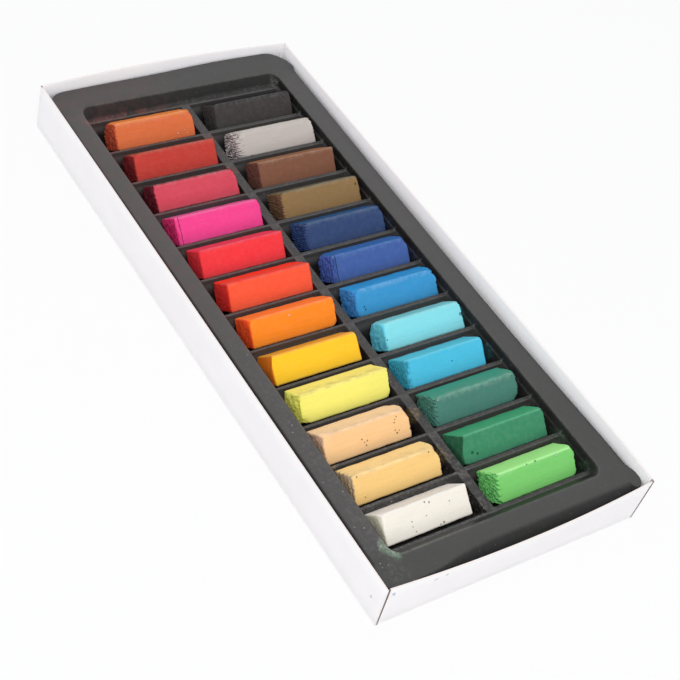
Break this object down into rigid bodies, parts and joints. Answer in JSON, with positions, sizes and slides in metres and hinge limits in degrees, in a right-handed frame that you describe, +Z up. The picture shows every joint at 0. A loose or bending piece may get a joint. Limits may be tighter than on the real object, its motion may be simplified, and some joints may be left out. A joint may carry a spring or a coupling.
{
  "type": "pastel drawer box",
  "caption": "Shallow open card box with a formed dark plastic tray whose V-shaped pockets hold two columns of square soft pastel sticks in graded colours.",
  "frame": {"origin": "middle of the card box's underside, on the surface that it stands on", "axes": "+Z up out of the box, +Y along the box from the near end to the far end, +X across it"},
  "size_m": [0.1044, 0.2334, 0.0185],
  "materials": {
    "white_card": "smooth matt",
    "black_plastic": "satin",
    "pastel_burnt_orange": "chalky matt",
    "pastel_brick_red": "chalky matt",
    "pastel_crimson": "chalky matt",
    "pastel_hot_pink": "chalky matt",
    "pastel_red": "chalky matt",
    "pastel_orange_red": "chalky matt",
    "pastel_orange": "chalky matt",
    "pastel_golden_yellow": "chalky matt",
    "pastel_lemon": "chalky matt",
    "pastel_peach": "chalky matt",
    "pastel_ochre": "chalky matt",
    "pastel_white": "chalky matt",
    "pastel_black": "chalky matt",
    "pastel_light_grey": "chalky matt",
    "pastel_brown": "chalky matt",
    "pastel_olive": "chalky matt",
    "pastel_navy": "chalky matt",
    "pastel_ultramarine": "chalky matt",
    "pastel_cobalt": "chalky matt",
    "pastel_turquoise": "chalky matt",
    "pastel_sky_blue": "chalky matt",
    "pastel_dark_green": "chalky matt",
    "pastel_green": "chalky matt",
    "pastel_light_green": "chalky matt"
  },
  "bodies": {
    "card_box": {"card_box": "white_card"},
    "pastel_tray": {"pastel_tray": "black_plastic"},
    "stick_burnt_orange": {"stick_burnt_orange": "pastel_burnt_orange"},
    "stick_brick_red": {"stick_brick_red": "pastel_brick_red"},
    "stick_crimson": {"stick_crimson": "pastel_crimson"},
    "stick_hot_pink": {"stick_hot_pink": "pastel_hot_pink"},
    "stick_red": {"stick_red": "pastel_red"},
    "stick_orange_red": {"stick_orange_red": "pastel_orange_red"},
    "stick_orange": {"stick_orange": "pastel_orange"},
    "stick_golden_yellow": {"stick_golden_yellow": "pastel_golden_yellow"},
    "stick_lemon": {"stick_lemon": "pastel_lemon"},
    "stick_peach": {"stick_peach": "pastel_peach"},
    "stick_ochre": {"stick_ochre": "pastel_ochre"},
    "stick_white": {"stick_white": "pastel_white"},
    "stick_black": {"stick_black": "pastel_black"},
    "stick_light_grey": {"stick_light_grey": "pastel_light_grey"},
    "stick_brown": {"stick_brown": "pastel_brown"},
    "stick_olive": {"stick_olive": "pastel_olive"},
    "stick_navy": {"stick_navy": "pastel_navy"},
    "stick_ultramarine": {"stick_ultramarine": "pastel_ultramarine"},
    "stick_cobalt": {"stick_cobalt": "pastel_cobalt"},
    "stick_turquoise": {"stick_turquoise": "pastel_turquoise"},
    "stick_sky_blue": {"stick_sky_blue": "pastel_sky_blue"},
    "stick_dark_green": {"stick_dark_green": "pastel_dark_green"},
    "stick_green": {"stick_green": "pastel_green"},
    "stick_light_green": {"stick_light_green": "pastel_light_green"}
  },
  "joints": [
    {"name": "tray_lift", "type": "slide", "parent": "card_box", "child": "pastel_tray", "axis": [0, 0, 1], "range_m": [0, 0.03]},
    {"name": "burnt_orange_lift", "type": "slide", "parent": "pastel_tray", "child": "stick_burnt_orange", "axis": [0, 0, 1], "range_m": [0, 0.03]},
    {"name": "brick_red_lift", "type": "slide", "parent": "pastel_tray", "child": "stick_brick_red", "axis": [0, 0, 1], "range_m": [0, 0.03]},
    {"name": "crimson_lift", "type": "slide", "parent": "pastel_tray", "child": "stick_crimson", "axis": [0, 0, 1], "range_m": [0, 0.03]},
    {"name": "hot_pink_lift", "type": "slide", "parent": "pastel_tray", "child": "stick_hot_pink", "axis": [0, 0, 1], "range_m": [0, 0.03]},
    {"name": "red_lift", "type": "slide", "parent": "pastel_tray", "child": "stick_red", "axis": [0, 0, 1], "range_m": [0, 0.03]},
    {"name": "orange_red_lift", "type": "slide", "parent": "pastel_tray", "child": "stick_orange_red", "axis": [0, 0, 1], "range_m": [0, 0.03]},
    {"name": "orange_lift", "type": "slide", "parent": "pastel_tray", "child": "stick_orange", "axis": [0, 0, 1], "range_m": [0, 0.03]},
    {"name": "golden_yellow_lift", "type": "slide", "parent": "pastel_tray", "child": "stick_golden_yellow", "axis": [0, 0, 1], "range_m": [0, 0.03]},
    {"name": "lemon_lift", "type": "slide", "parent": "pastel_tray", "child": "stick_lemon", "axis": [0, 0, 1], "range_m": [0, 0.03]},
    {"name": "peach_lift", "type": "slide", "parent": "pastel_tray", "child": "stick_peach", "axis": [0, 0, 1], "range_m": [0, 0.03]},
    {"name": "ochre_lift", "type": "slide", "parent": "pastel_tray", "child": "stick_ochre", "axis": [0, 0, 1], "range_m": [0, 0.03]},
    {"name": "white_lift", "type": "slide", "parent": "pastel_tray", "child": "stick_white", "axis": [0, 0, 1], "range_m": [0, 0.03]},
    {"name": "black_lift", "type": "slide", "parent": "pastel_tray", "child": "stick_black", "axis": [0, 0, 1], "range_m": [0, 0.03]},
    {"name": "light_grey_lift", "type": "slide", "parent": "pastel_tray", "child": "stick_light_grey", "axis": [0, 0, 1], "range_m": [0, 0.03]},
    {"name": "brown_lift", "type": "slide", "parent": "pastel_tray", "child": "stick_brown", "axis": [0, 0, 1], "range_m": [0, 0.03]},
    {"name": "olive_lift", "type": "slide", "parent": "pastel_tray", "child": "stick_olive", "axis": [0, 0, 1], "range_m": [0, 0.03]},
    {"name": "navy_lift", "type": "slide", "parent": "pastel_tray", "child": "stick_navy", "axis": [0, 0, 1], "range_m": [0, 0.03]},
    {"name": "ultramarine_lift", "type": "slide", "parent": "pastel_tray", "child": "stick_ultramarine", "axis": [0, 0, 1], "range_m": [0, 0.03]},
    {"name": "cobalt_lift", "type": "slide", "parent": "pastel_tray", "child": "stick_cobalt", "axis": [0, 0, 1], "range_m": [0, 0.03]},
    {"name": "turquoise_lift", "type": "slide", "parent": "pastel_tray", "child": "stick_turquoise", "axis": [0, 0, 1], "range_m": [0, 0.03]},
    {"name": "sky_blue_lift", "type": "slide", "parent": "pastel_tray", "child": "stick_sky_blue", "axis": [0, 0, 1], "range_m": [0, 0.03]},
    {"name": "dark_green_lift", "type": "slide", "parent": "pastel_tray", "child": "stick_dark_green", "axis": [0, 0, 1], "range_m": [0, 0.03]},
    {"name": "green_lift", "type": "slide", "parent": "pastel_tray", "child": "stick_green", "axis": [0, 0, 1], "range_m": [0, 0.03]},
    {"name": "light_green_lift", "type": "slide", "parent": "pastel_tray", "child": "stick_light_green", "axis": [0, 0, 1], "range_m": [0, 0.03]}
  ]
}
